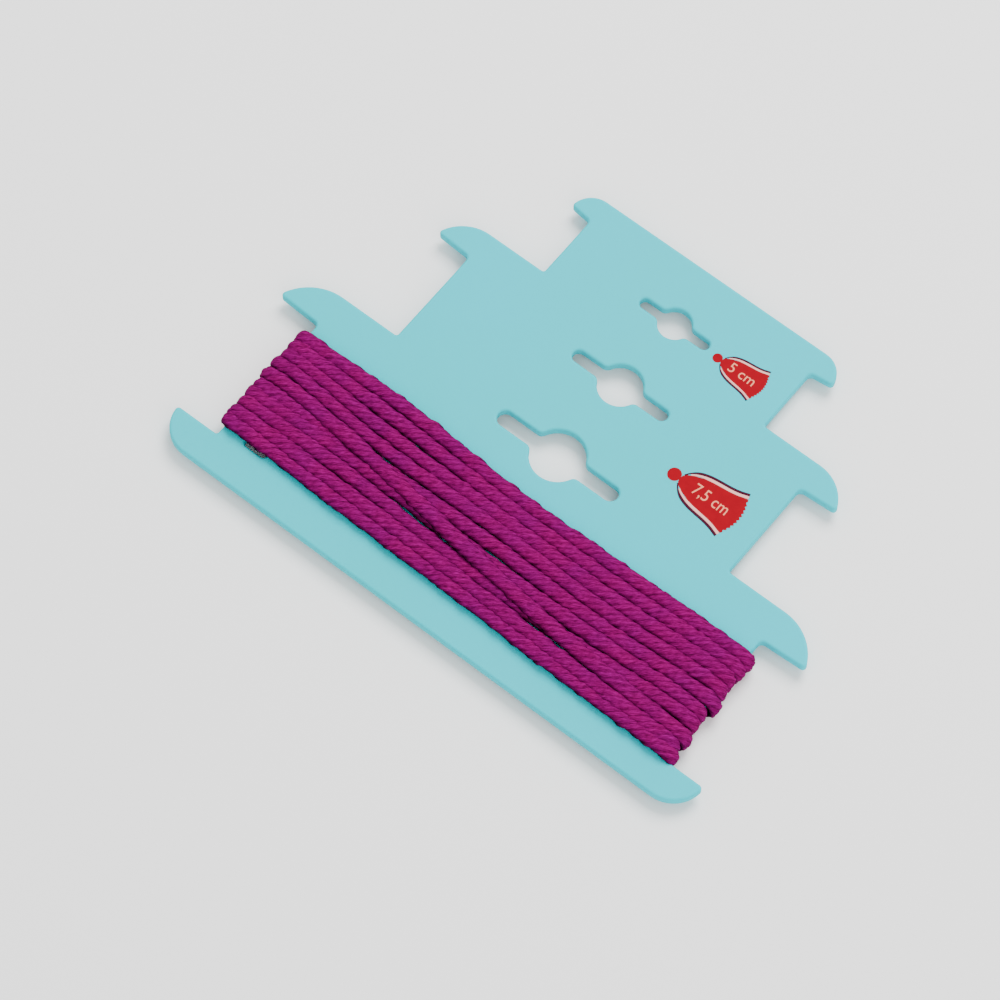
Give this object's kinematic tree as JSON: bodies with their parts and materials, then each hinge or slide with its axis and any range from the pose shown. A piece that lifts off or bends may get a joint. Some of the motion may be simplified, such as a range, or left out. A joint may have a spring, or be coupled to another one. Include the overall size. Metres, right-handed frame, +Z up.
{
  "type": "pom pom maker plate",
  "caption": "Flat stepped winding plate with three pairs of side notches and keyholes down its middle, carrying a coil of wound yarn.",
  "frame": {"origin": "middle of the underside of the whole part, yarn included", "axes": "+X along the notches' winding widths, +Y from the closed bar to the narrowest step, +Z up out of the plate's printed face"},
  "size_m": [0.1182, 0.087, 0.0059],
  "materials": {
    "plate": "smooth satin, pale turquoise",
    "yarn": "twisted plied acrylic yarn, magenta"
  },
  "bodies": {
    "root": {"winding_plate": "plate", "yarn_winding": "yarn"}
  },
  "joints": []
}
